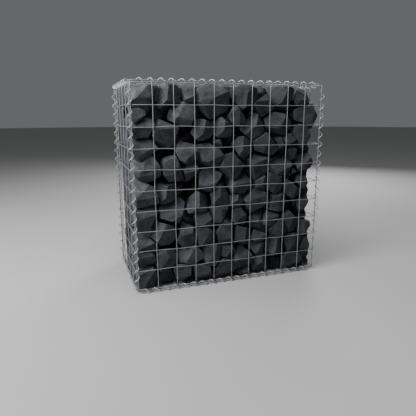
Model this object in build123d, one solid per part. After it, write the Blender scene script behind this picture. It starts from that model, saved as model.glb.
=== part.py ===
from build123d import *
import math
import os

# Gabion wall: one wire basket of welded mesh, laced at every edge and filled with stone.
# X runs along the wall, Y from its front to its back, Z upward. The origin is on the
# ground under the middle of the basket. All sizes are in millimetres.

# The basket, between the axes of each panel's edge wires
WIDTH = 1000.0
DEPTH = 540.0
HEIGHT = 1000.0

# Welded mesh
MESH_PITCH = 100.0
MESH_WIRE = 4.0

# Spiral binders that lace the panels together
BINDER_WIRE = 4.0
TURNS_PER_CELL = 2
RUNS_PER_TURN = 5
LACING_GAP = 0.4
BINDER_PLAY = 0.3
BINDER_END_GAP = 12.0

# Stone fill, laid in level courses
COURSES = 10
HEADROOM = 8.0
STONE_CLEARANCE = 0.3
CORNER_WANDER = 30.0
FACE_DENT = 11.0
# What each course leaves empty at the front right corner beyond the binder, from the bottom up
CORNER_VOIDS = (0.0, 0.0, 10.0, 46.0, 32.0, 50.0, 38.0, 42.0, 8.0, 58.0)
VOID_SLOPE = 1.3

# Where the panels and binders lie. The planes of two panels meet on a corner line, which
# is the axis of the binder there. Each edge wire stands back from it by EDGE_SEAT.
EDGE_SEAT = 1.5 * MESH_WIRE + LACING_GAP
RUN_ANGLE = 360.0 / RUNS_PER_TURN


def clear_reach():
    """Distance from a corner line at which every run of a binder clears the edge wires."""
    far = EDGE_SEAT + MESH_WIRE / 2
    corners = [(far, MESH_WIRE), (far, -MESH_WIRE), (MESH_WIRE, far), (-MESH_WIRE, far)]
    reach = 0.0
    for run in range(RUNS_PER_TURN):
        normal = math.radians(run * RUN_ANGLE - 90.0)
        for y, z in corners:
            reach = max(reach, y * math.cos(normal) + z * math.sin(normal))
    return reach + BINDER_PLAY


BORE_REACH = clear_reach()
BINDER_REACH = BORE_REACH + BINDER_WIRE
# Runs meet further out than their middles
MITRE = 1 / math.cos(math.radians(RUN_ANGLE / 2))
MEAN_GIRTH = math.pi * (BORE_REACH + BINDER_REACH)

HALF_WIDTH = WIDTH / 2 + EDGE_SEAT
HALF_DEPTH = DEPTH / 2 + EDGE_SEAT
HALF_HEIGHT = HEIGHT / 2 + EDGE_SEAT
CENTRE = Vector(0, 0, HALF_HEIGHT + BINDER_REACH)
# The stones stop this far inside the planes of the panels
INSIDE = MESH_WIRE + STONE_CLEARANCE
# They clear the binders, which reach into the corners, by the same amount
BINDER_BERTH = BINDER_REACH * MITRE + STONE_CLEARANCE
LEAST_BREAK = math.sqrt(2) * BINDER_BERTH - 2 * INSIDE
BED_SHARE = 1 - (BINDER_BERTH - INSIDE) / (HALF_DEPTH - INSIDE)

OUTWARD = {
    "front": Vector(0, -1, 0),
    "back": Vector(0, 1, 0),
    "left": Vector(-1, 0, 0),
    "right": Vector(1, 0, 0),
    "bottom": Vector(0, 0, -1),
    "top": Vector(0, 0, 1),
}


def face_offset(side):
    """Vector from the basket's centre to the middle of one side's panel plane."""
    normal = OUTWARD[side]
    return Vector(normal.X * HALF_WIDTH, normal.Y * HALF_DEPTH, normal.Z * HALF_HEIGHT)


def cells_along(span):
    """How many meshes fit a span, each as near as can be to the nominal pitch."""
    return max(1, round(span / MESH_PITCH))


def mesh_panel(span_x, span_y):
    """A welded panel in the XY plane, outer side up.

    The wires along Y lie over those along X, touch them face to face and are fused there.
    """
    cells_x = cells_along(span_x)
    cells_y = cells_along(span_y)
    under_wire = Pos(0, 0, -MESH_WIRE / 2) * Box(span_x + MESH_WIRE, MESH_WIRE, MESH_WIRE)
    over_wire = Pos(0, 0, MESH_WIRE / 2) * Box(MESH_WIRE, span_y + MESH_WIRE, MESH_WIRE)
    under = [place * under_wire for place in GridLocations(0, span_y / cells_y, 1, cells_y + 1)]
    over = [place * over_wire for place in GridLocations(span_x / cells_x, 0, cells_x + 1, 1)]
    return Part() + under + over


def placed_panel(side, outer_wires, span_across, span_along):
    """A panel on one side of the basket, its outer wires along the given direction."""
    across = outer_wires.cross(OUTWARD[side])
    plane = Plane(origin=CENTRE + face_offset(side), x_dir=across, z_dir=OUTWARD[side])
    return plane.location * mesh_panel(span_across, span_along)


def binder_section(station, run_rise, half):
    """The corners of the binder's wire where two runs meet, for a binder along +X.

    The station counts runs from the first flat one past the middle of the edge, and half
    is half the width that the sloping wire takes up along the axis.
    """
    angle = math.radians(station * RUN_ANGLE - 90.0)
    middle = run_rise * (1 + station)
    outer = BINDER_REACH * MITRE
    inner = BORE_REACH * MITRE
    corners = ((outer, -half), (outer, half), (inner, half), (inner, -half))
    return [
        Vector(middle + along, reach * math.cos(angle), reach * math.sin(angle))
        for reach, along in corners
    ]


def spiral_binder(span):
    """A right-handed coil of straight runs along +X, centred on the edge it laces.

    It laces a panel that rises toward +Z to one that lies toward +Y, and it passes
    through their planes midway between the mesh wires. Each turn has a flat run at the
    bottom, so that a binder under the basket stands on it.
    """
    pitch = span / cells_along(span) / TURNS_PER_CELL
    run_rise = pitch / RUNS_PER_TURN
    half_wire = BINDER_WIRE / math.cos(math.atan2(pitch, MEAN_GIRTH)) / 2
    half_length = span / 2 + EDGE_SEAT - BINDER_REACH * MITRE - BINDER_END_GAP
    first = math.ceil(-half_length / run_rise - 1.5)
    last = math.floor(half_length / run_rise - 1.5)
    sections = [
        binder_section(k + 0.5, run_rise, half_wire)
        for k in range(first, last + 1)
    ]
    outlines = [sections[0], sections[-1]]
    for here, there in zip(sections, sections[1:]):
        outlines.append([here[0], here[1], there[1], there[0]])
        outlines.append([here[3], here[2], there[2], there[3]])
        for a, b in ((1, 2), (0, 3)):
            outlines.append([here[a], here[b], there[b]])
            outlines.append([here[a], there[b], there[a]])
    faces = [Face(Wire.make_polygon(outline, close=True)) for outline in outlines]
    return Solid(Shell(faces))


def placed_binder(coil, level_side, other_side):
    """A binder at the edge between two sides, its flat runs toward the first of them."""
    rise = -OUTWARD[level_side]
    reach = -OUTWARD[other_side]
    corner = CENTRE + face_offset(level_side) + face_offset(other_side)
    plane = Plane(origin=corner, x_dir=reach.cross(rise), z_dir=rise)
    return plane.location * coil


def wander(course, place):
    """A share from 0 to 1 that differs from course to course and from place to place."""
    return 0.5 + 0.5 * math.sin(2.4 * course + 1.7 * place)


def course_outline(course, share):
    """Plan of a course, at a share of its full size.

    It is a rectangle with broken corners and one stone set back in each long face.
    """
    half_x = HALF_WIDTH - INSIDE
    half_y = HALF_DEPTH - INSIDE
    breaks = [LEAST_BREAK + CORNER_WANDER * wander(course, corner) for corner in range(3)]
    void = LEAST_BREAK + CORNER_VOIDS[course % len(CORNER_VOIDS)]
    front_dent = FACE_DENT * wander(course, 3)
    back_dent = FACE_DENT * wander(course, 4)
    dent_x = half_x * (wander(course, 5) - 0.5)
    points = [
        (-half_x, -half_y + breaks[0]),
        (-half_x + breaks[0], -half_y),
        (dent_x, -half_y + front_dent),
        (half_x - void, -half_y),
        (half_x, -half_y + VOID_SLOPE * void),
        (half_x, half_y - breaks[1]),
        (half_x - breaks[1], half_y),
        (-dent_x, half_y - back_dent),
        (-half_x + breaks[2], half_y),
        (-half_x, half_y - breaks[2]),
    ]
    return make_face(Polyline(*[(share * x, share * y) for x, y in points], close=True))


def stone_course(course):
    """One level course of the fill, widest at half its height and bedded on the one below."""
    bed = CENTRE.Z - HALF_HEIGHT + INSIDE
    depth = (2 * HALF_HEIGHT - 2 * INSIDE - HEADROOM) / COURSES
    plans = [
        Pos(0, 0, bed + (course + level) * depth) * course_outline(course, share)
        for level, share in ((0, BED_SHARE), (0.5, 1), (1, BED_SHARE))
    ]
    return loft(plans, ruled=True)


def build():
    """Every node of the basket by name."""
    nodes = {}
    upright = Vector(0, 0, 1)
    endwise = Vector(0, 1, 0)
    lengthwise = Vector(1, 0, 0)
    for side in ("front", "back"):
        nodes[f"mesh_{side}"] = placed_panel(side, upright, WIDTH, HEIGHT)
    for side in ("left", "right"):
        nodes[f"mesh_{side}"] = placed_panel(side, endwise, HEIGHT, DEPTH)
    nodes["mesh_base"] = placed_panel("bottom", lengthwise, DEPTH, WIDTH)
    nodes["mesh_lid"] = placed_panel("top", lengthwise, DEPTH, WIDTH)

    long_coil = spiral_binder(WIDTH)
    short_coil = spiral_binder(DEPTH)
    upright_coil = spiral_binder(HEIGHT)
    for level in ("bottom", "top"):
        for side in ("front", "back"):
            nodes[f"binder_{level}_{side}"] = placed_binder(long_coil, level, side)
        for side in ("left", "right"):
            nodes[f"binder_{level}_{side}"] = placed_binder(short_coil, level, side)
    for face in ("front", "back"):
        for end in ("left", "right"):
            nodes[f"binder_{face}_{end}"] = placed_binder(upright_coil, face, end)

    for course in range(COURSES):
        nodes[f"stone_course_{course + 1:02d}"] = stone_course(course)
    return nodes


os.makedirs("parts", exist_ok=True)
for name, shape in build().items():
    export_step(shape, f"parts/{name}.step")
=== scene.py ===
"""Looks of the gabion wall: its welded mesh, its spiral binders and every stone in it.

Lengths are in metres. X runs along the wall to its right end, Y from its front to its back
and Z upward from the ground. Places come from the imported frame.
"""

import logging
import math
from dataclasses import dataclass, field, replace
from enum import Enum
from functools import cache
from itertools import combinations

import bpy
import numpy as np
from mathutils import Euler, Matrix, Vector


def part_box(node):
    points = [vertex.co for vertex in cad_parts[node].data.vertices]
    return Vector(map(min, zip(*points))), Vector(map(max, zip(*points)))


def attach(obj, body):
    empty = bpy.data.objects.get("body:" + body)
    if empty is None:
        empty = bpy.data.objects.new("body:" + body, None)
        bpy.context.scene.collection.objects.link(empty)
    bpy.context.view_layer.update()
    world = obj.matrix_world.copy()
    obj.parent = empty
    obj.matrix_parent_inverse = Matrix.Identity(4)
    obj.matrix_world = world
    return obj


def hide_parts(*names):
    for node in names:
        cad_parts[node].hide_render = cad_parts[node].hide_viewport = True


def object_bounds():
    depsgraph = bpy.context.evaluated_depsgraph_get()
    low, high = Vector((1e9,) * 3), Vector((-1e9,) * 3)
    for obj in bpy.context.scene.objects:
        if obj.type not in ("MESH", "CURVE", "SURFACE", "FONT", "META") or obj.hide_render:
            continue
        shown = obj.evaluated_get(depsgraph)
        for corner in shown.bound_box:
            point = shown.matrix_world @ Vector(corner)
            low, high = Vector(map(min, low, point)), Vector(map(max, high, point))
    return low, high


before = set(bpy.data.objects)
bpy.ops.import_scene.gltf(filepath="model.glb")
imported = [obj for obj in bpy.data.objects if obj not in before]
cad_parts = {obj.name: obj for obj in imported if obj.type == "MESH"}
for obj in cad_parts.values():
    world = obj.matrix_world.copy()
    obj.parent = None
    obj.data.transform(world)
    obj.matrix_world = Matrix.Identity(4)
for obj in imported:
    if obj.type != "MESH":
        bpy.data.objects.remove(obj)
cad_low, cad_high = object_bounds()

LOG = logging.getLogger("gabion")
Array = np.ndarray
Socket = bpy.types.NodeSocket
# The ends of a range
Range = tuple[float, float]
# The vertices of a surface, and its faces as places in them
Surface = tuple[Array, list[list[int]]]
# The normal of a plane, and how far it lies from a stone's middle
Plane = tuple[Array, float]

SEED = 20
MESH_PITCH = 0.1
# A reach past the right end of the front face, in meshes, which holds no stone back
PAST_END = 10.5
# How far to the right the camera's sight runs past the right end, for each metre behind it
SIGHT_SLOPE = 0.69


class Axis(Enum):
    """The directions of the frame, by their place in a point."""

    ALONG = 0
    THROUGH = 1
    UP = 2

    def unit(self) -> Array:
        """The unit vector of this direction."""
        return np.eye(3)[self.value]


class Side(Enum):
    """The six sides of the basket: direction, sense, and the way its outer wires run."""

    FRONT = ("front", Axis.THROUGH, -1, Axis.UP)
    BACK = ("back", Axis.THROUGH, 1, Axis.UP)
    LEFT = ("left", Axis.ALONG, -1, Axis.THROUGH)
    RIGHT = ("right", Axis.ALONG, 1, Axis.THROUGH)
    BASE = ("base", Axis.UP, -1, Axis.ALONG)
    LID = ("lid", Axis.UP, 1, Axis.ALONG)

    def __init__(self, word: str, axis: Axis, sense: int, outer_wires: Axis) -> None:
        """Keeps the side's facts by name.

        Args:
            word: The side's name in the frame.
            axis: The direction across its panel.
            sense: 1 if the panel faces along that direction, -1 if against it.
            outer_wires: The direction of the wires on the panel's outer face.
        """
        self.word = word
        self.axis = axis
        self.sense = sense
        self.outer_wires = outer_wires

    def outward(self) -> Array:
        """The unit vector out of the basket on this side."""
        return self.axis.unit() * self.sense

    def inner_wires(self) -> Axis:
        """The direction of the wires on the panel's inner face."""
        taken = (self.axis, self.outer_wires)
        return next(axis for axis in Axis if axis not in taken)


class Cleft(Enum):
    """How the outer face of a stone is broken, as facets (turn, lean, across, up).

    Turn is toward the face's right and lean is upward, in degrees from straight out. Across
    and up say where the facet comes out furthest, in shares of the stone's size from its
    middle.
    """

    FLAT = ((0, 0, 0.0, 0.0),)
    FOOT = ((-8, 8, 0.0, 0.0), (8, -44, 0.0, -0.14))
    SQUARE = ((-14, 8, -0.1, 0.0), (20, -8, 0.1, 0.0))
    SLOPE = ((-4, 30, 0.0, -0.2), (20, -22, 0.1, -0.2))
    UNDERCUT = ((6, -28, 0.0, 0.3), (0, 40, 0.0, 0.3))
    ROOF = ((-6, 44, 0.0, 0.12), (8, -14, 0.0, 0.12))
    LEFT_FACET = ((-46, 12, -0.08, 0.0), (22, 0, -0.08, 0.0), (4, -34, 0.0, -0.2))
    RIGHT_FACET = ((-14, 10, 0.12, 0.0), (46, -4, 0.12, 0.0), (0, -36, 0.0, -0.25))
    CREST = ((-38, 24, 0.0, 0.05), (34, 16, 0.0, 0.05), (2, -26, 0.0, 0.05))
    KEEL = ((-34, -6, 0.0, 0.0), (34, -4, 0.0, 0.0), (0, 46, 0.0, 0.18))
    LEFT_ROOF = ((-40, 32, -0.14, 0.12), (4, 10, -0.12, 0.05), (8, -32, 0.0, -0.2))


@dataclass(frozen=True)
class FaceStone:
    """One stone of the front face, placed as it shows through the front panel.

    Across and down count meshes from the panel's top left corner, and size is in meshes.
    Tone lightens or darkens the stone, as its own colour and as painted shade: the stones
    set back are darkened. Depth sets it further back, and reach is the furthest that it comes
    toward the right end, in meshes. Lean is how far its end there faces upward, in degrees.
    Without a cleft the place stays empty, as a black gap.
    """

    across: float
    down: float
    size: float
    cleft: Cleft | None = None
    tone: float = 0.0
    depth: float = 0.0
    reach: float = PAST_END
    lean: float = 0.0


FACE_STONES = tuple(FaceStone(*row) for row in (
    # Across, down, size, cleft and tone, then depth, reach and lean where they matter
    # Under the lid
    (0.50, 0.75, 1.35, Cleft.LEFT_ROOF, 0.35),
    (1.70, 0.55, 1.25, Cleft.LEFT_FACET, 0.2),
    (2.68, 0.55, 0.62, Cleft.SLOPE, 0.5),
    (3.90, 0.80, 1.55, Cleft.ROOF, 0.1),
    (5.55, 0.75, 1.5, Cleft.LEFT_FACET, -0.05),
    (6.55, 0.90, 1.1, Cleft.ROOF),
    (7.62, 0.58, 1.35, Cleft.LEFT_FACET, 0.05),
    (8.83, 0.55, 1.0, Cleft.RIGHT_FACET, -0.05, 0.0, 9.2, 32),
    (9.20, 1.50, 1.35, Cleft.SQUARE, 0.0, 0.0, 9.90),
    # Second row
    (0.25, 1.50, 0.55, Cleft.SLOPE, 0.2),
    (0.50, 2.05, 0.9, Cleft.ROOF, -0.1),
    (1.52, 2.20, 1.1, Cleft.ROOF),
    (2.42, 1.45, 1.25, Cleft.LEFT_ROOF, 0.25),
    (3.42, 2.15, 1.05, Cleft.LEFT_FACET),
    (4.47, 2.00, 1.1, Cleft.LEFT_FACET, 0.05),
    (5.15, 1.55, 0.8, Cleft.SQUARE, -0.1, 0.1),
    (6.07, 2.05, 1.15, Cleft.CREST, 0.3),
    (7.40, 1.95, 1.25, Cleft.SQUARE, 0.05),
    (8.22, 1.45, 0.6, Cleft.SQUARE, -0.25, 0.8),
    (8.98, 2.55, 1.25, Cleft.SQUARE, 0.0, 0.0, 9.55),
    (8.05, 2.75, 0.55, Cleft.SLOPE, 0.1, 0.2),
    # Third row
    (0.50, 2.92, 0.85, Cleft.SLOPE),
    (2.55, 3.20, 1.0, Cleft.SLOPE, 0.15),
    (3.70, 3.35, 1.1, Cleft.SLOPE, 0.1),
    (4.25, 2.85, 0.5, Cleft.SQUARE, -0.3, 0.25),
    (5.48, 2.98, 0.95, Cleft.LEFT_FACET, 0.15),
    (6.68, 2.98, 1.05, Cleft.SQUARE, 0.05),
    (7.58, 2.95, 0.65, Cleft.SQUARE, -0.2, 0.3),
    # Fourth row
    (0.60, 3.93, 1.25, Cleft.LEFT_ROOF, 0.1),
    (1.85, 3.95, 1.2, Cleft.RIGHT_FACET, 0.05),
    (2.67, 4.20, 0.7, Cleft.ROOF, -0.05, 0.15),
    (3.70, 4.55, 1.05, Cleft.SLOPE, 0.25),
    (4.93, 3.85, 1.2, Cleft.SQUARE, -0.1),
    (6.30, 3.90, 1.2, Cleft.ROOF, -0.05),
    (7.70, 4.00, 1.05, Cleft.SLOPE, 0.1),
    (8.25, 3.40, 0.5, Cleft.SQUARE, -0.3, 0.25),
    (9.07, 3.90, 1.35, Cleft.SQUARE, 0.0, 0.0, 9.8),
    # Fifth row
    (0.45, 5.10, 1.05, Cleft.LEFT_ROOF, 0.2),
    (1.53, 5.13, 1.0, Cleft.LEFT_FACET, 0.1),
    (5.33, 4.90, 1.35, Cleft.ROOF, 0.05),
    (6.55, 4.87, 0.65, Cleft.SQUARE, -0.1, 0.1),
    (4.25, 5.40, 1.05, Cleft.CREST, -0.05),
    (7.30, 4.90, 1.15, Cleft.SQUARE),
    (8.45, 5.27, 1.1, Cleft.SQUARE, -0.15),
    (9.05, 5.05, 1.0, Cleft.SQUARE, -0.1, 0.05, 9.52),
    # Sixth row
    (0.45, 6.30, 1.05, Cleft.ROOF),
    (1.87, 6.10, 1.2, Cleft.SLOPE, 0.05),
    (3.10, 5.85, 1.1, Cleft.CREST, 0.1),
    (5.20, 5.75, 0.65, Cleft.CREST, 0.15),
    (6.20, 5.75, 1.35, Cleft.ROOF, -0.05),
    (7.50, 5.95, 1.05, Cleft.SQUARE),
    (9.10, 6.10, 1.2, Cleft.RIGHT_FACET, -0.1, 0.0, 9.62),
    # Seventh row
    (1.22, 7.10, 1.25, Cleft.LEFT_FACET, 0.1),
    (2.55, 7.30, 1.1, Cleft.ROOF),
    (3.35, 6.60, 0.9, Cleft.SLOPE, 0.1),
    (4.25, 6.25, 0.95, Cleft.SQUARE),
    (5.40, 6.60, 0.75, Cleft.SQUARE, -0.2, 0.1),
    (6.55, 7.00, 1.1, Cleft.ROOF),
    (7.15, 6.90, 0.8, Cleft.ROOF, 0.05),
    (7.70, 7.35, 0.85, Cleft.SQUARE, -0.05),
    (8.30, 7.15, 0.95, Cleft.SQUARE, -0.05),
    (9.20, 7.40, 1.2, Cleft.SQUARE, 0.0, 0.0, 9.84),
    # Eighth row
    (0.50, 7.70, 0.85, Cleft.ROOF, -0.15),
    (3.50, 7.50, 0.85, Cleft.SQUARE),
    (4.60, 7.30, 1.2, Cleft.RIGHT_FACET, 0.1),
    (5.50, 7.60, 0.9, Cleft.RIGHT_FACET, 0.05),
    (6.50, 7.80, 0.55, Cleft.SLOPE, 0.15),
    # Ninth row
    (0.50, 8.40, 0.82, Cleft.UNDERCUT, -0.05),
    (1.35, 8.45, 1.0, Cleft.SQUARE, -0.2, 0.1),
    (2.70, 8.50, 1.15, Cleft.LEFT_ROOF, 0.1),
    (3.85, 8.50, 1.0, Cleft.SQUARE),
    (4.65, 8.45, 0.7, Cleft.SQUARE, -0.15, 0.15),
    (5.50, 8.90, 1.25, Cleft.ROOF, 0.15),
    (6.45, 8.35, 0.8, Cleft.SQUARE, -0.1, 0.1),
    (7.50, 8.50, 1.1, Cleft.LEFT_FACET, 0.1),
    (8.50, 8.35, 0.95, Cleft.SQUARE, -0.2),
    (9.47, 8.60, 0.9, Cleft.SQUARE, -0.05),
    # On the base
    (0.43, 9.35, 0.85, Cleft.SQUARE, -0.2),
    (1.35, 9.30, 0.7, Cleft.FOOT, -0.35, 0.35),
    (2.35, 9.38, 0.7, Cleft.FOOT),
    (3.25, 9.35, 0.95, Cleft.FOOT),
    (4.45, 9.38, 0.9, Cleft.FOOT),
    (5.60, 9.60, 0.7, Cleft.FOOT, -0.2, 0.5),
    (6.65, 9.20, 1.0, Cleft.CREST, 0.1),
    (7.55, 9.45, 0.8, Cleft.FOOT, -0.4, 0.65),
    (8.50, 9.40, 0.95, Cleft.FOOT),
    (9.35, 9.45, 0.85, Cleft.FOOT, -0.2, 0.4),
))

# Stones that show behind the gaps of the face, darkened in tone as painted shade of the gaps
WEDGED_STONES = tuple(FaceStone(*row) for row in (
    (8.72, 4.55, 0.9, Cleft.SQUARE, -0.2, 0.7),
    (9.10, 5.45, 0.9, Cleft.SQUARE, -0.2, 0.35, 9.55),
    (8.45, 5.90, 0.9, Cleft.SQUARE, -0.2, 0.7),
    (8.75, 6.02, 0.5, Cleft.SQUARE, -0.3, 0.5),
    (9.45, 9.05, 0.5, Cleft.SQUARE, -0.3, 0.3, 9.80),
    (9.10, 8.05, 0.9, Cleft.SQUARE, -0.2, 0.6),
    (8.95, 3.20, 0.8, Cleft.SQUARE, -0.2, 0.5, 9.45),
    (9.05, 9.00, 0.8, Cleft.SQUARE, -0.2, 0.6),
    (9.05, 6.80, 0.8, Cleft.SQUARE, -0.2, 0.6, 9.50),
))

# The largest black gaps: across, down and size
HOLLOWS = tuple(FaceStone(*row) for row in (
    (1.48, 1.30, 0.7),
    (2.58, 2.33, 0.6),
    (5.25, 2.22, 0.4),
    (4.72, 3.02, 0.6),
    (1.32, 3.28, 0.45),
    (2.50, 5.05, 0.8),
    (8.35, 6.10, 0.4),
    (1.95, 7.98, 0.35),
    (1.45, 9.85, 0.4),
    (2.85, 9.90, 0.3),
    (7.55, 9.35, 0.5),
))


def linked(name: str, data: bpy.types.ID) -> bpy.types.Object:
    """Makes an object of some data and links it to the scene.

    Args:
        name: The object's name.
        data: A mesh, a camera or a lamp.

    Returns:
        The object.
    """
    made = bpy.data.objects.new(name, data)
    bpy.context.scene.collection.objects.link(made)
    return made


def node_box(node: str) -> tuple[Array, Array]:
    """The lowest and the highest corner of a CAD node."""
    low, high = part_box(node)
    return np.array(low), np.array(high)


@dataclass
class GatheredMesh:
    """Vertices and faces collected for one joined mesh, with values at each vertex."""

    points: list[Array] = field(default_factory=list)
    faces: list[list[int]] = field(default_factory=list)
    values: dict[str, list[Array]] = field(default_factory=dict)
    count: int = 0

    def add(self, points: Array, faces: list[list[int]], **values: Array) -> None:
        """Adds one part to the mesh.

        Args:
            points: Its vertices, one a row.
            faces: Its faces, as places in points.
            **values: A number or a vector for each vertex, by the attribute's name.
        """
        self.points.append(points)
        self.faces.extend([[corner + self.count for corner in face] for face in faces])
        for name, value in values.items():
            self.values.setdefault(name, []).append(value)
        self.count += len(points)

    def to_object(self, name: str, sharp_angle: float = 180.0) -> bpy.types.Object:
        """Makes the Blender object of what was gathered.

        Args:
            name: The piece's name.
            sharp_angle: The turn between two faces, in degrees, that makes a sharp edge.

        Returns:
            The object, linked to the scene and shaded smooth between its sharp edges.
        """
        mesh = bpy.data.meshes.new(name)
        mesh.from_pydata(np.concatenate(self.points).tolist(), [], self.faces)
        mesh.shade_smooth()
        mesh.set_sharp_from_angle(angle=math.radians(sharp_angle))
        for attribute_name, arrays in self.values.items():
            value = np.concatenate(arrays)
            kind, key = ("FLOAT", "value") if value.ndim == 1 else ("FLOAT_VECTOR", "vector")
            attribute = mesh.attributes.new(attribute_name, kind, "POINT")
            attribute.data.foreach_set(key, value.astype(np.float32).ravel())
        mesh.update()
        return linked(name, mesh)


def unit_rows(vectors: Array) -> Array:
    """Scales vectors to length one.

    Args:
        vectors: An array whose last direction holds the vectors.

    Returns:
        The unit vectors, in the same arrangement.
    """
    return vectors / np.linalg.norm(vectors, axis=-1, keepdims=True)


def smooth_path(knots: Array, steps: int) -> Array:
    """A smooth line through knots, as a Catmull-Rom spline.

    Args:
        knots: The points that it passes through, one a row.
        steps: How many pieces each stretch between two knots is cut into.

    Returns:
        The points of the line, knots included.
    """
    before = 2 * knots[0] - knots[1]
    after = 2 * knots[-1] - knots[-2]
    held = np.vstack([before, knots, after])
    share = np.linspace(0, 1, steps, endpoint=False)[:, None]
    stretches = []
    for a, b, c, d in zip(held, held[1:], held[2:], held[3:]):
        stretches.append(
            b
            + share * (c - a) / 2
            + share**2 * (2 * a - 5 * b + 4 * c - d) / 2
            + share**3 * (3 * b - a - 3 * c + d) / 2
        )
    return np.vstack([*stretches, knots[-1:]])


def round_wire(path: Array, radius: float, sides: int) -> Surface:
    """Sweeps a round wire along a line, its ends cut square.

    Args:
        path: The wire's middle, one point a row.
        radius: The wire's radius.
        sides: How many sides its section has.

    Returns:
        The wire's surface.
    """
    tangents = unit_rows(np.gradient(path, axis=0))
    helper = np.eye(3)[np.argmin(np.abs(tangents[0]))]
    across = np.cross(tangents[0], helper)
    rings = []
    angles = np.linspace(0, 2 * math.pi, sides, endpoint=False)
    for point, tangent in zip(path, tangents):
        across = across - tangent * (across @ tangent)
        across /= np.linalg.norm(across)
        up = np.cross(tangent, across)
        ring = np.outer(np.cos(angles), across) + np.outer(np.sin(angles), up)
        rings.append(point + radius * ring)
    faces = [[*range(sides)][::-1]]
    for ring in range(len(path) - 1):
        here = ring * sides
        for side in range(sides):
            after = (side + 1) % sides
            faces.append([here + side, here + after, here + sides + after, here + sides + side])
    end = (len(path) - 1) * sides
    faces.append([end + side for side in range(sides)])
    return np.vstack(rings), faces


class ShaderBench:
    """A material's node tree, with short ways to add and join nodes."""

    def __init__(self, name: str) -> None:
        """Starts a material.

        Args:
            name: The material's name.
        """
        self.material = bpy.data.materials.new(name)
        self.material.use_nodes = True
        self.tree = self.material.node_tree
        self.surface = self.tree.nodes["Principled BSDF"]

    def node(self, kind: str, **settings: object) -> bpy.types.Node:
        """Adds a node.

        Args:
            kind: The node's type, without its ShaderNode prefix.
            **settings: Its properties by name.

        Returns:
            The node.
        """
        made = self.tree.nodes.new("ShaderNode" + kind)
        for key, value in settings.items():
            setattr(made, key, value)
        return made

    def feed(self, node: bpy.types.Node, **inputs: object) -> bpy.types.Node:
        """Sets a node's sockets, from another node's output or to a plain value.

        Args:
            node: The node to set.
            **inputs: An output or a value for each socket, by the socket's name with _ for
                spaces, or by its number after the letter i.

        Returns:
            The same node.
        """
        for key, value in inputs.items():
            place = int(key[1:]) if key[0] == "i" and key[1:].isdigit() else key.replace("_", " ")
            socket = node.inputs[place]
            if isinstance(value, Socket):
                self.tree.links.new(value, socket)
            else:
                socket.default_value = value
        return node

    def attribute(self, name: str) -> bpy.types.Node:
        """A node that reads a value kept at the mesh's vertices."""
        return self.node("Attribute", attribute_name=name, attribute_type="GEOMETRY")

    def noise(self, where: Socket, scale: float, detail: float) -> Socket:
        """Adds a noise texture.

        Args:
            where: The coordinates that it is laid out in.
            scale: How many times it varies over a metre.
            detail: How many finer layers it has.

        Returns:
            Its height, from 0 to 1.
        """
        texture = self.node("TexNoise")
        self.feed(texture, Vector=where, Scale=scale, Detail=detail)
        return texture.outputs["Fac"]

    def combine(self, kind: str, first: object, second: object) -> Socket:
        """Joins two values by arithmetic.

        Args:
            kind: The operation, such as ADD or MULTIPLY.
            first: An output or a number.
            second: An output or a number.

        Returns:
            The result.
        """
        math_node = self.node("Math", operation=kind)
        self.feed(math_node, i0=first, i1=second)
        return math_node.outputs[0]

    def spread(self, value: Socket, taken: Range, given: Range = (0.0, 1.0)) -> Socket:
        """Maps a value from one range to another, held at the ends.

        Args:
            value: The value.
            taken: The range that it comes in.
            given: The range that it goes out in.

        Returns:
            The mapped value.
        """
        mapped = self.node("MapRange", clamp=True)
        self.feed(mapped, Value=value, From_Min=taken[0], From_Max=taken[1])
        self.feed(mapped, To_Min=given[0], To_Max=given[1])
        return mapped.outputs[0]

    def blend(self, share: object, first: object, second: object) -> Socket:
        """Mixes two colours.

        Args:
            share: How much of the second, an output or a number.
            first: A colour or an output.
            second: A colour or an output.

        Returns:
            The mixed colour.
        """
        mixed = self.node("Mix", data_type="RGBA")
        self.feed(mixed, i0=share, i6=first, i7=second)
        return mixed.outputs[2]

    def bump(self, heights: list[tuple[Socket, float]]) -> Socket:
        """Adds relief from several heights, one on the other.

        Args:
            heights: Each height's output and its depth.

        Returns:
            The normal of the last.
        """
        normal = None
        for height, depth in heights:
            relief = self.node("Bump")
            self.feed(relief, Height=height, Distance=depth, Strength=1.0)
            if normal is not None:
                self.feed(relief, Normal=normal)
            normal = relief.outputs["Normal"]
        return normal


def grey(level: float, blue: float = 0.0) -> tuple[float, float, float, float]:
    """A grey, leaning to blue by a share of its level and to green by a fifth of that."""
    return (level, level * (1 + 0.2 * blue), level * (1 + blue), 1.0)


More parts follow.
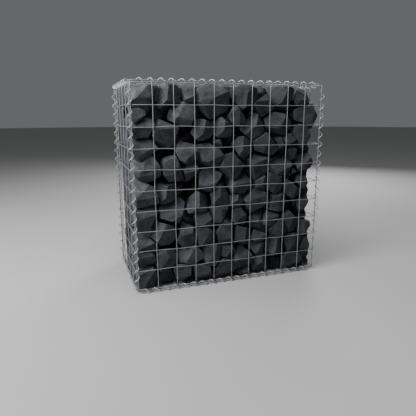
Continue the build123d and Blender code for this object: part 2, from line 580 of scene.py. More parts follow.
@dataclass(frozen=True)
class ZincFinish:
    """Hot-dip zinc on drawn wire, dulled by weather."""

    name: str
    bright: float
    dull: float
    roughness: float
    metallic: float = 0.55
    dull_blue: float = 0.10
    bright_blue: float = 0.06
    patch_scale: float = 38.0
    patch_range: Range = (0.35, 0.65)
    rough_range: Range = (0.3, 0.7)
    rougher: float = 0.12
    smoother: float = 0.05
    spangle_scale: float = 420.0
    spangle_range: Range = (0.0, 0.7)
    sparkle: float = 0.25
    relief: float = 0.00012

    def material(self) -> bpy.types.Material:
        """Builds the material, a mottle of dull and bright zinc with a fine grain.

        Returns:
            The material.
        """
        bench = ShaderBench(self.name)
        where = bench.node("TexCoord").outputs["Object"]
        patches = bench.noise(where, self.patch_scale, detail=3.0)
        spangle = bench.node("TexVoronoi")
        bench.feed(spangle, Vector=where, Scale=self.spangle_scale)
        weather = bench.spread(patches, self.patch_range)
        dull = grey(self.dull, self.dull_blue)
        base = bench.blend(weather, dull, grey(self.bright, self.bright_blue))
        distance = spangle.outputs["Distance"]
        crystal = bench.spread(distance, self.spangle_range, (0.0, self.sparkle))
        colour = bench.blend(crystal, base, grey(self.bright))
        roughness = (self.roughness + self.rougher, self.roughness - self.smoother)
        rough = bench.spread(patches, self.rough_range, roughness)
        grain = bench.noise(where, self.spangle_scale * 2, detail=2.0)
        bench.feed(
            bench.surface,
            Base_Color=colour,
            Roughness=rough,
            Metallic=self.metallic,
            Normal=bench.bump([(grain, self.relief)]),
        )
        return bench.material


@dataclass(frozen=True)
class BasaltFinish:
    """Broken basalt: charcoal, matt and finely grained, with paler arrises and a little dust, and
    painted light that makes the facets facing up and to the left paler.
    """

    name: str
    blue: float = 0.20
    dark: float = 0.014
    light: float = 0.050
    cloud_range: Range = (0.76, 1.24)
    fleck: float = 0.14
    fleck_share: float = 0.5
    fleck_range: Range = (0.64, 0.74)
    # The worn arrises, which the grain breaks up
    worn: float = 0.09
    worn_share: float = 0.55
    worn_range: Range = (0.15, 0.6)
    worn_grain: Range = (0.38, 0.62)
    least_wear: float = 0.25
    # The dust on the weather side, which the mottle breaks up, and painted light: the same paler
    # grey on the facets that face up and to the left, toward the lamps
    dust_and_painted_light: float = 0.12
    dust_and_painted_light_share: float = 0.40
    dust_and_painted_light_blue: float = 0.5
    dust_and_painted_light_range: Range = (0.28, 0.95)
    dust_and_painted_light_mottle: Range = (0.35, 0.7)
    least_dust_and_painted_light: float = 0.4
    weather_and_lamp_side: tuple[float, float, float] = (-0.66, -0.05, 0.75)
    # The surface
    specular: float = 0.35
    roughness: float = 0.86
    rough_range: Range = (0.3, 0.7)
    rough_spread: float = 0.08
    mottle_scale: float = 26.0
    grain_scale: float = 170.0
    fleck_scale: float = 1100.0
    deep_relief: float = 0.0006
    fine_relief: float = 0.0009

    def material(self) -> bpy.types.Material:
        """Builds the material from the stones' own coordinates, tones and arrises.

        Returns:
            The material.
        """
        bench = ShaderBench(self.name)
        where = bench.attribute("grain").outputs["Vector"]
        tone = bench.attribute("tone").outputs["Fac"]
        arris = bench.attribute("arris").outputs["Fac"]
        mottle = bench.noise(where, self.mottle_scale, detail=6.0)
        grain = bench.noise(where, self.grain_scale, detail=5.0)
        flecks = bench.noise(where, self.fleck_scale, detail=1.0)
        cloud = bench.combine("ADD", mottle, grain)
        base = bench.blend(
            bench.spread(cloud, self.cloud_range),
            grey(self.dark, self.blue),
            grey(self.light, self.blue),
        )
        specks = bench.spread(flecks, self.fleck_range, (0.0, self.fleck_share))
        speckled = bench.blend(specks, base, grey(self.fleck, self.blue))
        wear = bench.combine(
            "MULTIPLY",
            bench.spread(arris, self.worn_range, (0.0, self.worn_share)),
            bench.spread(grain, self.worn_grain, (self.least_wear, 1.0)),
        )
        edged = bench.blend(wear, speckled, grey(self.worn, self.blue))
        # Dust and painted light: facets turned up and to the left, toward the lamps, get the paler
        # grey
        facing = bench.node("VectorMath", operation="DOT_PRODUCT")
        normal = bench.node("NewGeometry").outputs["Normal"]
        bench.feed(facing, i0=normal, i1=self.weather_and_lamp_side)
        dust_and_light_amount = bench.combine(
            "MULTIPLY",
            bench.spread(facing.outputs["Value"], self.dust_and_painted_light_range, (0.0, self.dust_and_painted_light_share)),
            bench.spread(mottle, self.dust_and_painted_light_mottle, (self.least_dust_and_painted_light, 1.0)),
        )
        dusted_and_lit = bench.blend(dust_and_light_amount, edged, grey(self.dust_and_painted_light, self.blue * self.dust_and_painted_light_blue))
        shade = bench.node("HueSaturation")
        bench.feed(shade, Color=dusted_and_lit, Value=bench.combine("ADD", tone, 1.0))
        roughness = (self.roughness - self.rough_spread, self.roughness + self.rough_spread)
        rough = bench.spread(grain, self.rough_range, roughness)
        bench.feed(
            bench.surface,
            Base_Color=shade.outputs["Color"],
            Roughness=rough,
            Specular_IOR_Level=self.specular,
            Normal=bench.bump([(mottle, self.deep_relief), (grain, self.fine_relief)]),
        )
        return bench.material


@dataclass(frozen=True)
class FloorFinish:
    """A plain pale floor."""

    name: str = "pale_floor"
    level: float = 0.42
    cloud_scale: float = 1.5
    cloud_range: Range = (0.3, 0.7)
    cloud_shade: float = 0.97
    roughness: float = 0.9

    def material(self) -> bpy.types.Material:
        """Builds the material, one pale grey with the faintest unevenness.

        Returns:
            The material.
        """
        bench = ShaderBench(self.name)
        where = bench.node("TexCoord").outputs["Object"]
        clouds = bench.noise(where, self.cloud_scale, detail=3.0)
        share = bench.spread(clouds, self.cloud_range)
        colour = bench.blend(share, grey(self.level), grey(self.level * self.cloud_shade))
        bench.feed(bench.surface, Base_Color=colour, Roughness=self.roughness)
        return bench.material


@dataclass(frozen=True)
class Basket:
    """Where the basket's panels lie, read from the frame."""

    wire: float
    pitch: float
    planes: dict[Side, float]
    front: tuple[Array, Array]
    clearance: float = 0.0009

    @classmethod
    def from_frame(cls, pitch: float) -> "Basket":
        """Reads the panels' planes, the thickness of their wire and the front panel's box.

        Args:
            pitch: The nominal size of a mesh.

        Returns:
            The basket.
        """
        planes = {}
        for side in Side:
            low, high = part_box(f"mesh_{side.word}")
            planes[side] = (low[side.axis.value] + high[side.axis.value]) / 2
            wire = (high[side.axis.value] - low[side.axis.value]) / 2
        return cls(wire=wire, pitch=pitch, planes=planes, front=node_box("mesh_front"))

    def gap(self, side: Side, point: Array) -> float:
        """How far inside the plane of a side's panel a point lies."""
        return (self.planes[side] - point[side.axis.value]) * side.sense

    def front_spot(self, across: float, down: float) -> Array:
        """A point of the front panel.

        Args:
            across: How many meshes it lies from the panel's left edge wire.
            down: How many meshes it lies below the panel's top edge wire.

        Returns:
            The point, in the panel's plane.
        """
        low, high = self.front
        half = self.wire / 2
        return np.array([
            low[0] + half + across * self.pitch,
            self.planes[Side.FRONT],
            high[2] - half - down * self.pitch,
        ])

    def room(self) -> tuple[Array, Array]:
        """The space that the stones may fill.

        Returns:
            Its lowest and its highest corner.
        """
        inset = self.wire + self.clearance
        low = np.array([self.planes[side] for side in (Side.LEFT, Side.FRONT, Side.BASE)])
        high = np.array([self.planes[side] for side in (Side.RIGHT, Side.BACK, Side.LID)])
        return low + inset, high - inset

    def end_reach(self, heights: Array) -> Array:
        """How far the stones come toward the right end in the front plane, at each height.

        Args:
            heights: Heights above the ground.

        Returns:
            The reach along X, from the stones of the front face that end the row.
        """
        ends = [stone for stone in FACE_STONES if stone.reach < PAST_END]
        spots = np.array([self.front_spot(stone.reach, stone.down) for stone in ends])
        spots = spots[np.argsort(spots[:, 2])]
        return np.interp(heights, spots[:, 2], spots[:, 0])

    def corner_line(self, first: Side, second: Side) -> Array:
        """The middle of an edge of the basket.

        Args:
            first: One side at the edge.
            second: The other side.

        Returns:
            The point where their planes meet.
        """
        point = np.zeros(3)
        point[Axis.UP.value] = (self.planes[Side.BASE] + self.planes[Side.LID]) / 2
        for side in (first, second):
            point[side.axis.value] = self.planes[side]
        return point


@dataclass
class WeldedPanel:
    """One panel of welded mesh: two layers of round wires, joined where they cross."""

    side: Side
    basket: Basket
    finish: bpy.types.Material
    rng: np.random.Generator
    bow: float = 0.003
    bow_range: Range = (0.6, 1.0)
    sway: float = 0.0016
    sway_outward: float = 0.3
    edge_hold: float = 3.0
    steps_per_mesh: int = 4
    wire_sides: int = 8
    bead_length: float = 0.0034
    bead_height: float = 0.0022
    bead_cut: float = 0.85

    def node(self) -> str:
        """The panel's name in the frame."""
        return f"mesh_{self.side.word}"

    def crossings(self) -> Array:
        """Where the wires cross, on a grid that is a little bent inside its edges.

        Returns:
            The points, in rows across the inner wires' direction and then the outer wires'.
        """
        low, high = node_box(self.node())
        inner, outer = self.side.inner_wires().value, self.side.outer_wires.value
        spans = high - low - self.basket.wire
        cells = [round(spans[way] / self.basket.pitch) for way in (inner, outer)]
        shares = [np.linspace(0, 1, count + 1) for count in cells]
        grid = np.zeros((cells[0] + 1, cells[1] + 1, 3))
        grid[..., self.side.axis.value] = self.basket.planes[self.side]
        for way, share, shape in ((inner, shares[0][:, None], 0), (outer, shares[1][None, :], 1)):
            grid[..., way] = low[way] + self.basket.wire / 2 + share * spans[way]
        free = np.outer(np.sin(math.pi * shares[0]), np.sin(math.pi * shares[1]))
        loose = np.minimum(1.0, self.edge_hold * free)[..., None]
        drift = self.rng.normal(0, self.sway, grid.shape)
        drift[..., self.side.axis.value] *= self.sway_outward
        bulge = self.bow * free * self.rng.uniform(*self.bow_range, free.shape)
        return grid + loose * drift + bulge[..., None] * self.side.outward()

    def wires(self, grid: Array) -> list[Array]:
        """The middle lines of all the panel's wires.

        Args:
            grid: Where they cross.

        Returns:
            One line for each wire, its ends half a wire past the last crossing.
        """
        half = self.basket.wire / 2
        lift = self.side.outward() * half
        lines = []
        for knots, offset in ((grid, lift), (grid.transpose(1, 0, 2), -lift)):
            for row in knots:
                line = smooth_path(row + offset, self.steps_per_mesh)
                line[0] += unit_rows(line[0] - line[1]) * half
                line[-1] += unit_rows(line[-1] - line[-2]) * half
                lines.append(line)
        return lines

    def weld_bead(self, point: Array) -> Surface:
        """The small swelling where two wires are welded.

        Args:
            point: Where they cross.

        Returns:
            The bead's surface, a low dome on each side of the joint.
        """
        sides = self.wire_sides
        turns = np.linspace(0, 2 * math.pi, sides, endpoint=False)
        normal = self.side.outward()
        first, second = self.side.inner_wires().unit(), self.side.outer_wires.unit()
        rings = []
        for share in (-self.bead_cut, 0.0, self.bead_cut):
            width = self.bead_length * math.sqrt(1 - share**2)
            ring = np.outer(np.cos(turns), first) + np.outer(np.sin(turns), second)
            rings.append(point + width * ring + normal * self.bead_height * share)
        faces = [[*range(sides)], [*range(2 * sides, 3 * sides)][::-1]]
        for base in (0, sides):
            for turn in range(sides):
                after = (turn + 1) % sides
                faces.append([base + turn, base + sides + turn, base + sides + after, base + after])
        return np.vstack(rings), faces

    def build(self) -> bpy.types.Object:
        """Makes the panel, dresses it and puts it in the place of its CAD node.

        Returns:
            The panel.
        """
        grid = self.crossings()
        gathered = GatheredMesh()
        for line in self.wires(grid):
            gathered.add(*round_wire(line, self.basket.wire / 2, self.wire_sides))
        for point in grid.reshape(-1, 3):
            gathered.add(*self.weld_bead(point))
        piece = gathered.to_object(f"welded_{self.side.word}")
        piece.data.materials.append(self.finish)
        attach(piece, "root")
        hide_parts(self.node())
        return piece


@dataclass
class SpiralBinder:
    """One spiral binder: a long open coil of round wire that laces two panels together."""

    name: str
    level_side: Side
    other_side: Side
    basket: Basket
    finish: bpy.types.Material
    rng: np.random.Generator
    turns_per_mesh: int = 2
    rings_per_turn: int = 16
    wire_sides: int = 8
    phase: float = -162.0
    unevenness: float = 0.0004
    stretch: float = 4.0
    stretch_wave: float = 11.0
    width_wave: float = 23.0
    wave_start: float = 6.3

    def axis(self) -> Array:
        """The way the coil runs."""
        return np.cross(-self.other_side.outward(), -self.level_side.outward())

    def way(self) -> int:
        """The place in a point of the way the coil runs."""
        return int(np.argmax(np.abs(self.axis())))

    def radius(self) -> float:
        """The coil's mean radius.

        Returns:
            The radius that takes the coil out to the box of its CAD node.
        """
        low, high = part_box(self.name)
        reach = self.basket.planes[self.level_side] * self.level_side.sense
        edge = high if self.level_side.sense > 0 else low
        outer = edge[self.level_side.axis.value] * self.level_side.sense - reach
        return outer - self.basket.wire / 2 - self.unevenness

    def pitch(self) -> float:
        """The length of one turn, with a whole number of turns to a mesh of the panel.

        Returns:
            The length.
        """
        low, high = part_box(f"mesh_{self.level_side.word}")
        span = high[self.way()] - low[self.way()] - self.basket.wire
        return span / round(span / self.basket.pitch) / self.turns_per_mesh

    def line(self) -> Array:
        """The middle line of the coil's wire.

        Returns:
            The points of the helix, from one cut end to the other.
        """
        low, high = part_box(self.name)
        half_length = (high[self.way()] - low[self.way()]) / 2 - self.basket.wire
        pitch = self.pitch()
        count = round(2 * half_length / pitch * self.rings_per_turn)
        stations = np.linspace(-half_length, half_length, count + 1)
        angles = np.radians(self.phase) + 2 * math.pi * stations / pitch
        starts = self.rng.uniform(0, self.wave_start, 2)
        slow = np.sin(stations * self.stretch_wave + starts[0]) * self.unevenness
        wide = np.sin(stations * self.width_wave + starts[1]) * self.unevenness / 2
        radius = self.radius() + wide
        reach, rise = -self.other_side.outward(), -self.level_side.outward()
        corner = self.basket.corner_line(self.level_side, self.other_side)
        return (
            corner
            + np.outer(stations + slow * self.stretch, self.axis())
            + np.outer(radius * np.cos(angles), reach)
            + np.outer(radius * np.sin(angles), rise)
        )

    def build(self) -> bpy.types.Object:
        """Makes the coil, dresses it and puts it in the place of its CAD node.

        Returns:
            The binder.
        """
        gathered = GatheredMesh()
        gathered.add(*round_wire(self.line(), self.basket.wire / 2, self.wire_sides))
        piece = gathered.to_object(self.name.replace("binder", "spiral"))
        piece.data.materials.append(self.finish)
        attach(piece, "root")
        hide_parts(self.name)
        return piece


@dataclass(frozen=True)
class PhotoCamera:
    """The camera, as found from the crossings of the front panel in the photograph."""

    basket: Basket
    aside: float = -0.783
    before_front: float = 1.8586
    height: float = 0.874
    yaw: float = 19.32
    pitch: float = -13.11
    roll: float = 0.15
    focal_pixels: float = 399.2
    frame_pixels: float = 416.0
    sensor: float = 36.0

    def place(self) -> Array:
        """Where the camera stands.

        Returns:
            The place.
        """
        return np.array([
            self.aside,
            self.basket.planes[Side.FRONT] - self.before_front,
            self.height,
        ])

    def build(self) -> None:
        """Makes the camera and gives it to the scene."""
        data = bpy.data.cameras.new("photo_camera")
        data.sensor_width = self.sensor
        data.lens = self.focal_pixels / self.frame_pixels * self.sensor
        camera = linked("photo_camera", data)
        camera.location = self.place()
        turn = (math.radians(90 + self.pitch), math.radians(self.roll), math.radians(-self.yaw))
        camera.rotation_euler = Euler(turn, "XYZ")
        bpy.context.scene.camera = camera

    def behind_front(self, across: float, down: float, depth: float) -> Array:
        """The point behind a spot on the front panel, on the line of sight.

        Args:
            across: How many meshes the spot lies from the panel's left edge wire.
            down: How many meshes it lies below the panel's top edge wire.
            depth: How far behind the panel's plane the point lies.

        Returns:
            The point.
        """
        spot = self.basket.front_spot(across, down)
        sight = spot - self.place()
        return spot + sight * depth / sight[1]


@dataclass
class StudioLight:
    """One soft lamp, aimed at the middle of the basket."""

    name: str
    place: tuple[float, float, float]
    size: float
    power: float

    def build(self) -> None:
        """Makes the lamp."""
        data = bpy.data.lights.new(self.name, "AREA")
        data.shape = "DISK"
        data.size = self.size
        data.energy = self.power
        lamp = linked(self.name, data)
        lamp.location = self.place
        middle = (cad_low + cad_high) / 2
        lamp.rotation_euler = (lamp.location - middle).to_track_quat("Z", "Y").to_euler()


@dataclass
class Studio:
    """The pale floor, the even sky and the soft lamps."""

    sky: float = 0.14
    sky_colour: tuple[float, float, float, float] = (0.97, 0.985, 1.0, 1.0)
    floor_radius: float = 30.0
    floor_sides: int = 96
    lights: tuple[StudioLight, ...] = (
        StudioLight("key_light", (-2.9, -1.1, 2.2), 1.6, 135.0),
        StudioLight("left_light", (-3.0, 0.9, 1.7), 1.4, 26.0),
        StudioLight("top_light", (-0.8, -1.0, 3.4), 2.2, 80.0),
        StudioLight("back_light", (2.6, 3.2, 2.4), 2.0, 140.0),
    )

    def build_floor(self) -> None:
        """Makes the floor, a wide flat disc."""
        turns = np.linspace(0, 2 * math.pi, self.floor_sides, endpoint=False)
        rim = self.floor_radius * np.column_stack([np.cos(turns), np.sin(turns), 0 * turns])
        gathered = GatheredMesh()
        gathered.add(rim, [[*range(self.floor_sides)]])
        floor = gathered.to_object("floor")
        floor.data.materials.append(FloorFinish().material())

    def build(self) -> None:
        """Makes the floor, the sky and the lamps."""
        self.build_floor()
        world = bpy.data.worlds.new("studio_sky")
        world.use_nodes = True
        background = world.node_tree.nodes["Background"]
        background.inputs["Color"].default_value = self.sky_colour
        background.inputs["Strength"].default_value = self.sky
        bpy.context.scene.world = world
        for light in self.lights:
            light.build()


@dataclass(frozen=True)
class Seed:
    """Where a stone comes: its middle and size, the side it faces and how that is broken."""

    middle: Array
    size: float
    tone: float
    home: Side | None = None
    cleft: Cleft | None = None
    reach: float = PAST_END
    lean: float = 0.0

    def hollow(self) -> bool:
        """Whether the place stays empty, as a gap between the stones of a face."""
        return self.home is not None and self.cleft is None


@dataclass
class StonePacking:
    """Where the stones come, and the planes that part each one from its neighbours."""

    basket: Basket
    camera: PhotoCamera
    rng: np.random.Generator
    # The stones of the faces
    face_depth: float = 0.43
    least_depth: float = 0.028
    middle_mesh: float = 5.0
    # Painted light: a stone of the front face gets paler for each mesh that it lies left of the
    # middle mesh, toward the lamps, and darker to its right
    painted_light_leftward: float = 0.05
    back_tones: float = 0.5
    # The loose stones between them
    loose_stones: int = 260
    loose_tones: float = 0.12
    size_range: Range = (0.080, 0.145)
    tries: int = 60
    wall_share: float = 0.42
    end_share: float = 0.12
    second_row: float = 0.135
    # The joints
    joint: Range = (0.001, 0.020)
    joint_skew: float = 2.2
    joint_tilt: float = 0.48
    joint_seed: int = SEED
    least_joint: float = 0.010

    def face_seeds(self, entries: tuple[FaceStone, ...]) -> list[Seed]:
        """Puts stones and hollows behind the front panel.

        Args:
            entries: Where they show through it.

        Returns:
            A seed for each.
        """
        pitch = self.basket.pitch
        low, high = self.basket.room()
        seeds = []
        for entry in entries:
            depth = (self.face_depth * entry.size + entry.depth) * pitch + self.basket.wire
            middle = self.camera.behind_front(entry.across, entry.down, depth)
            seeds.append(Seed(
                middle=np.clip(middle, low + self.least_depth, high - self.least_depth),
                size=entry.size * pitch,
                # Painted light, paler toward the left end
                tone=entry.tone + (self.middle_mesh - entry.across) * self.painted_light_leftward,
                home=Side.FRONT,
                cleft=entry.cleft,
                reach=entry.reach,
                lean=entry.lean,
            ))
        return seeds

    def back_seeds(self, front: list[Seed]) -> list[Seed]:
        """The stones of the back face, those of the front turned half round.

        Args:
            front: The stones of the front face.

        Returns:
            The stones, with none held back from the end of the row.
        """
        return [
            replace(
                seed,
                middle=seed.middle * (-1, -1, 1),
                # Half of the front face's tone, its painted light and shade included
                tone=seed.tone * self.back_tones,
                home=Side.BACK,
                reach=PAST_END,
                lean=0.0,
            )
            for seed in front
        ]

    def scatter(self, seeds: list[Seed]) -> list[Seed]:
        """Adds the stones between the faces, each as far from the others as it can be.

        Args:
            seeds: The stones of the faces.

        Returns:
            All the stones.
        """
        low, high = self.basket.room()
        inner = np.array([0.0, self.second_row, 0.0])
        middles = [seed.middle for seed in seeds]
        sizes = [seed.size for seed in seeds]
        for _ in range(self.loose_stones):
            size = self.rng.uniform(*self.size_range)
            room = size * self.wall_share
            spots = self.rng.uniform(low + room, high - room, (self.tries, 3))
            spots = np.clip(spots, low + inner, high - inner)
            sight = spots[:, 0] - SIGHT_SLOPE * (spots[:, 1] - low[1])
            room = self.basket.end_reach(spots[:, 2]) - sight - size * self.end_share
            gaps = np.linalg.norm(spots[:, None] - np.array(middles)[None], axis=2)
            gaps -= np.array(sizes)[None] / 2
            score = np.where(room > 0, gaps.min(axis=1), -1.0)
            middles.append(spots[np.argmax(score)])
            sizes.append(size)
        tones = self.rng.normal(0, self.loose_tones, self.loose_stones)
        first = len(seeds)
        return seeds + [Seed(*facts) for facts in zip(middles[first:], sizes[first:], tones)]

    def joints(self, seeds: list[Seed]) -> tuple[Array, Array]:
        """The planes between every two stones.

        Each pair shares one plane, tilted a little, and stands back from it on both sides,
        so that no two stones overlap.

        Args:
            seeds: All the stones.

        Returns:
            Unit normals and distances from the stone's middle, one row of planes a stone.
        """
        count = len(seeds)
        middles = np.array([seed.middle for seed in seeds])
        sizes = np.array([seed.size for seed in seeds])
        draws = np.array([
            np.random.default_rng([self.joint_seed, row]).random((count, 4)) for row in range(count)
        ])
        apart = middles[None] - middles[:, None]
        # A stone and itself count as one metre apart, so that nothing is divided by zero
        distance = np.linalg.norm(apart, axis=2) + np.eye(count)
        toward = apart / distance[..., None]
        tilt = (2 * draws[..., :3] - 1) * self.joint_tilt
        normals = unit_rows(toward + (tilt - tilt.transpose(1, 0, 2)) / math.sqrt(2)
                            + np.eye(count)[..., None])
        share = sizes[:, None] / (sizes[:, None] + sizes[None])
        meet = toward * (distance * share)[..., None]
        thin, wide = self.joint
        gap = thin + (wide - thin) * draws[..., 3]**self.joint_skew
        # On each side, half of the mean of the two draws
        offsets = (normals * meet).sum(axis=2) - (gap + gap.T) / 4
        return normals, np.maximum(offsets, self.least_joint)

    def seeds(self) -> list[Seed]:
        """All the stones and hollows: the front, the back, the loose ones and the wedged ones."""
        front = self.face_seeds(FACE_STONES + HOLLOWS)
        return self.scatter(front + self.back_seeds(front)) + self.face_seeds(WEDGED_STONES)


@dataclass
class Facets:
    """The planes that bound a stone: their normals and their distances from its middle."""

    normals: Array
    offsets: Array
    sharpness: float = 90.0

    def add(self, normal: Array, offset: float) -> None:
        """Adds one plane."""
        self.normals = np.vstack([self.normals, normal])
        self.offsets = np.append(self.offsets, offset)

    def spans(self, directions: Array) -> tuple[Array, Array]:
        """How far the stone reaches from its middle, with its arrises rounded.

        Args:
            directions: Unit vectors from the middle.

        Returns:
            The reach in each direction, and how near each is to an arris, from 0 to 1.
        """
        ratios = np.maximum(directions @ self.normals.T, 0) / self.offsets
        powers = ratios**self.sharpness
        total = powers.sum(axis=1)
        return total ** (-1 / self.sharpness), 1 - powers.max(axis=1) / total

    def meet_arrises(self, directions: Array, step: Array) -> Array:
        """Moves the directions that pass near an arris onto it, so that it comes out sharp.

        Args:
            directions: Unit vectors from the middle.
            step: The angle through which each of them may move, in radians.

        Returns:
            The directions.
        """
        slopes = self.normals / self.offsets[:, None]
        first, second = np.argsort(-directions @ slopes.T, axis=1)[:, :2].T
        across = slopes[first] - slopes[second]
        share = (directions * across).sum(axis=1) / (across**2).sum(axis=1)
        moved = directions - across * share[:, None]
        near = np.linalg.norm(moved - directions, axis=1) < step
        return unit_rows(np.where(near[:, None], moved, directions))


@dataclass
class StoneCutter:
    """Cuts each stone from the space between its planes, chips it and roughens it."""

    basket: Basket
    rng: np.random.Generator
    # The sides of the basket
    wall_reach: float = 0.11
    least_wall: float = 0.012
    clear_of_binder: float = 0.0150
    face_inset: float = 0.05
    second_face: Range = (0.055, 0.085)
    set_back: float = 0.024
    flat_wobble: float = 2.0
    facet_wobble: float = 6.0
    # The rear of the left end, whose gap narrows from the ground to a metre above it
    rear: float = 0.12
    rear_gap: Range = (0.024, 0.016)
    # The right end of the front face
    end_zone_along: float = 0.25
    end_zone_through: float = 0.05
    end_opening: float = 20.0
    end_wobble: float = 5.0
    # The chips
    corner_tries: int = 260
    chips: tuple[int, int] = (2, 5)
    chip_depth: Range = (0.06, 0.21)
    chip_tilt: float = 0.22
    # The relief, as depths and wavelengths, and the grain
    reliefs: tuple[tuple[float, float], ...] = ((0.0006, 0.075), (0.0005, 0.026))
    waves: int = 7
    wave_spread: Range = (0.7, 1.4)
    wave_height: float = 3.0
    grain_shift: float = 5.0
    # The squares along a stone's mesh, which are closest on its outer side
    face_grid: int = 20
    side_grid: int = 12
    hidden_grid: int = 5
    outer_bias: float = 0.32

    def near_sides(self, middle: Array) -> list[Side]:
        """The sides of the basket that a stone reaches."""
        return [side for side in Side if self.basket.gap(side, middle) < self.wall_reach]

    def facets(self, seed: Seed, side: Side, cleft: Cleft, inset: float) -> list[Plane]:
        """The broken facets that a stone turns to one side of the basket.

        Args:
            seed: The stone.
            side: The side of the basket.
            cleft: How the face is broken.
            inset: How far the face stays inside the mesh.

        Returns:
            The plane of each facet.
        """
        low, high = self.basket.room()
        way = side.axis.value
        wall = (high if side.sense > 0 else low)[way]
        out = side.outward()
        up = Axis.THROUGH.unit() if side.axis is Axis.UP else Axis.UP.unit()
        across = np.cross(up, out)
        wobble = self.flat_wobble if cleft is Cleft.FLAT else self.facet_wobble
        planes = []
        for turn, lean, aside, above in cleft.value:
            turn = math.radians(turn + self.rng.normal(0, wobble))
            lean = math.radians(lean + self.rng.normal(0, wobble))
            normal = (
                out * math.cos(turn) * math.cos(lean)
                + across * math.sin(turn) * math.cos(lean)
                + up * math.sin(lean)
            )
            touch = seed.middle + (across * aside + up * above) * seed.size
            touch[way] = wall - side.sense * inset
            planes.append((normal, float(normal @ (touch - seed.middle))))
        return planes

    def end_planes(self, seed: Seed) -> list[Plane]:
        """The planes that hold a stone back from the right end of the front face.

        Args:
            seed: The stone.

        Returns:
            Two planes that meet where the stone comes furthest.
        """
        low, _ = self.basket.room()
        level = unit_rows(np.array([1.0, -SIGHT_SLOPE, 0.0]))
        reach = self.basket.end_reach(seed.middle[2])
        if seed.reach < PAST_END:
            reach = self.basket.front[0][0] + seed.reach * self.basket.pitch
        edge = np.array([reach, low[1], seed.middle[2]])
        planes = []
        for opening in (-self.end_opening, self.end_opening):
            lean = math.radians(seed.lean + opening + self.rng.normal(0, self.end_wobble))
            normal = level * math.cos(lean) + Axis.UP.unit() * math.sin(lean)
            planes.append((normal, float(normal @ (edge - seed.middle))))
        return planes

    def wall_planes(self, seed: Seed) -> list[Plane]:
        """The planes that keep one stone inside the mesh and clear of the binders.

        Args:
            seed: The stone.

        Returns:
            The planes.
        """
        middle = seed.middle
        near = self.near_sides(middle)
        planes = []
        for side in near:
            cleft, inset = Cleft.FLAT, 0.0
            if side is seed.home:
                cleft = seed.cleft
                inset = self.rng.uniform(0.0, self.face_inset) * seed.size
            elif side is Side.LID or side is Side.LEFT and len(near) < 2:
                cleft = Cleft.SQUARE
            elif side is Side.RIGHT and len(near) < 2:
                cleft = list(Cleft)[self.rng.integers(len(Cleft))]
                inset = self.rng.random()**2 * self.set_back
            if side is Side.LEFT and middle[1] > self.rear:
                inset = float(np.interp(middle[2], (0.0, 1.0), self.rear_gap))
            planes += self.facets(seed, side, cleft, inset)
        if seed.home is None:
            low, high = self.basket.room()
            hidden = self.rng.uniform(*self.second_face)
            planes.append((Side.FRONT.outward(), float(middle[1] - low[1]) - hidden))
            planes.append((Side.BACK.outward(), float(high[1] - middle[1]) - hidden))
        for first, second in combinations(near, 2):
            if first.axis is not second.axis:
                normal = unit_rows(first.outward() + second.outward())
                corner = middle.copy()
                for side in (first, second):
                    corner[side.axis.value] = self.basket.planes[side]
                planes.append((normal, float(normal @ (corner - middle)) - self.clear_of_binder))
        if middle[0] > self.end_zone_along and middle[1] < self.end_zone_through:
            planes += self.end_planes(seed)
        return [(normal, max(offset, self.least_wall)) for normal, offset in planes]

    @staticmethod
    @cache
    def ball(grid: int) -> Surface:
        """A ball of directions, from a cube whose faces carry an even grid.

        Args:
            grid: How many squares lie along each edge of the cube.

        Returns:
            The ball's surface, its vertices being the directions.
        """
        line = np.tan(np.linspace(-math.pi / 4, math.pi / 4, grid + 1))
        u, v = np.meshgrid(line, line, indexing="ij")
        points, quads = [], []
        cell = np.arange((grid + 1) ** 2).reshape(grid + 1, grid + 1)
        square = np.stack([cell[:-1, :-1], cell[1:, :-1], cell[1:, 1:], cell[:-1, 1:]], -1)
        for way in range(3):
            for sense in (1.0, -1.0):
                face = np.empty((grid + 1, grid + 1, 3))
                face[..., way] = sense
                face[..., (way + 1) % 3] = u * sense
                face[..., (way + 2) % 3] = v
                quads.append(square.reshape(-1, 4) + len(points) * (grid + 1) ** 2)
                points.append(face.reshape(-1, 3))
        merged, places = np.unique(np.vstack(points).round(6), axis=0, return_inverse=True)
        return unit_rows(merged), places.ravel()[np.vstack(quads)].tolist()

    def knock_corners(self, facets: Facets) -> None:
        """Breaks the furthest corners off a stone.

        Args:
            facets: The planes that bound the stone, to which those of the chips are added.
        """
        rough = unit_rows(self.rng.normal(size=(self.corner_tries, 3)))
        for _ in range(self.rng.integers(*self.chips, endpoint=True)):
            reach, _ = facets.spans(rough)
            normal = unit_rows(rough[np.argmax(reach)] + self.rng.normal(0, self.chip_tilt, 3))
            support = (rough @ normal * reach).max()
            facets.add(normal, support * (1 - self.rng.uniform(*self.chip_depth)))

    def roughness(self, points: Array) -> Array:
        """Shallow hollows with low ridges between them, as on broken rock.

        Args:
            points: Points on the stone, from its middle.

        Returns:
            How far each point lies under the unbroken surface.
        """
        depth = np.zeros(len(points))
        for amount, wavelength in self.reliefs:
            waves = unit_rows(self.rng.normal(size=(self.waves, 3))) * 2 * math.pi / wavelength
            waves *= self.rng.uniform(*self.wave_spread, (self.waves, 1))
            starts = self.rng.uniform(0, 2 * math.pi, self.waves)
            height = np.cos(points @ waves.T + starts).sum(axis=1)
            depth += amount * np.abs(height) / self.wave_height
        return depth

    def stone(self, seed: Seed, facets: Facets) -> tuple[Surface, dict[str, Array]]:
        """Shapes one stone.

        Args:
            seed: The stone.
            facets: The planes between it and its neighbours, to which the rest are added.

        Returns:
            Its surface, and the arris, tone and grain at each vertex.
        """
        for normal, offset in self.wall_planes(seed):
            facets.add(normal, offset)
        self.knock_corners(facets)
        outer = [side.outward() for side in self.near_sides(seed.middle)]
        grid = self.side_grid if outer else self.hidden_grid
        if seed.home is Side.FRONT:
            grid = self.face_grid
            outer = [Side.FRONT.outward()]
        bias = self.outer_bias * unit_rows(np.sum(outer, axis=0)) if outer else np.zeros(3)
        directions, faces = self.ball(grid)
        aimed = directions + bias
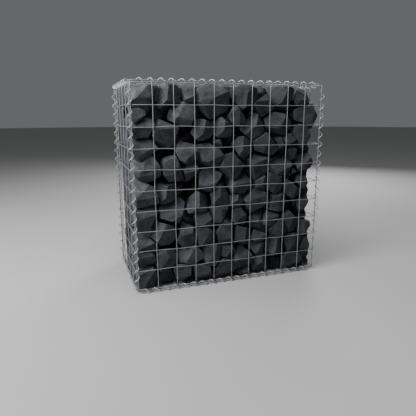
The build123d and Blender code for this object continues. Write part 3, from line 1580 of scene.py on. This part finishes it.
        # Half the width of a square, as the middle sees it
        step = math.pi / 4 / grid / np.linalg.norm(aimed, axis=1)
        directions = facets.meet_arrises(unit_rows(aimed), step)
        reach, arris = facets.spans(directions)
        points = directions * reach[:, None]
        points -= directions * self.roughness(points)[:, None]
        grain = points + self.rng.uniform(-self.grain_shift, self.grain_shift, 3)
        placed = np.clip(points + seed.middle, *self.basket.room())
        tone = np.full(len(points), seed.tone)
        return (placed, faces), {"arris": arris, "tone": tone, "grain": grain}


@dataclass
class StoneFill:
    """The fill of broken stones, joined course by course."""

    basket: Basket
    camera: PhotoCamera
    finish: bpy.types.Material
    rng: np.random.Generator
    neighbour_reach: float = 0.14
    sharp_angle: float = 22.0

    def build(self) -> list[bpy.types.Object]:
        """Makes the stones, dresses them and puts them in the place of the CAD courses.

        Returns:
            One piece a course.
        """
        packing = StonePacking(self.basket, self.camera, self.rng)
        cutter = StoneCutter(self.basket, self.rng)
        seeds = packing.seeds()
        normals, offsets = packing.joints(seeds)
        names = sorted(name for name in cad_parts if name.startswith("stone_course"))
        tops = [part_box(name)[1][2] for name in names]
        gathered = [GatheredMesh() for _ in names]
        for index, seed in enumerate(seeds):
            if seed.hollow():
                continue
            close = offsets[index] < self.neighbour_reach
            close[index] = False
            facets = Facets(normals[index][close], offsets[index][close])
            surface, values = cutter.stone(seed, facets)
            course = min(int(np.searchsorted(tops, seed.middle[2])), len(names) - 1)
            gathered[course].add(*surface, **values)
        pieces = []
        for name, mesh in zip(names, gathered):
            piece = mesh.to_object(name.replace("stone_course", "stones"), self.sharp_angle)
            piece.data.materials.append(self.finish)
            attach(piece, "root")
            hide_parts(name)
            pieces.append(piece)
        return pieces


def report(piece: bpy.types.Object) -> None:
    """Logs a piece's name and how many faces it has."""
    LOG.info("%s: %d faces", piece.name, len(piece.data.polygons))


def main() -> None:
    """Builds the camera, the studio, the panels, the binders and the stones in that order."""
    logging.basicConfig(level=logging.INFO, format="%(name)s: %(message)s")
    rng = np.random.default_rng(SEED)
    basket = Basket.from_frame(MESH_PITCH)
    camera = PhotoCamera(basket)
    camera.build()
    Studio().build()

    mesh_zinc = ZincFinish("dull_zinc", bright=0.30, dull=0.21, roughness=0.5).material()
    for side in Side:
        report(WeldedPanel(side, basket, mesh_zinc, rng).build())

    # Paler than the mesh's zinc: partly a brighter zinc, partly painted highlight standing in for
    # the coils' glints
    binder_zinc_and_glints = ZincFinish(
        "bright_zinc_and_painted_glints", bright=0.50, dull=0.33, roughness=0.47, metallic=0.6
    ).material()
    faces, ends = (Side.FRONT, Side.BACK), (Side.LEFT, Side.RIGHT)
    edges = [(level, other) for level in (Side.BASE, Side.LID) for other in faces + ends]
    edges += [(face, end) for face in faces for end in ends]
    for first, second in edges:
        word = {Side.BASE: "bottom", Side.LID: "top"}.get(first, first.word)
        name = f"binder_{word}_{second.word}"
        report(SpiralBinder(name, first, second, basket, binder_zinc_and_glints, rng).build())

    basalt = BasaltFinish("charcoal_basalt").material()
    for piece in StoneFill(basket, camera, basalt, rng).build():
        report(piece)


if __name__ == "__main__":
    main()
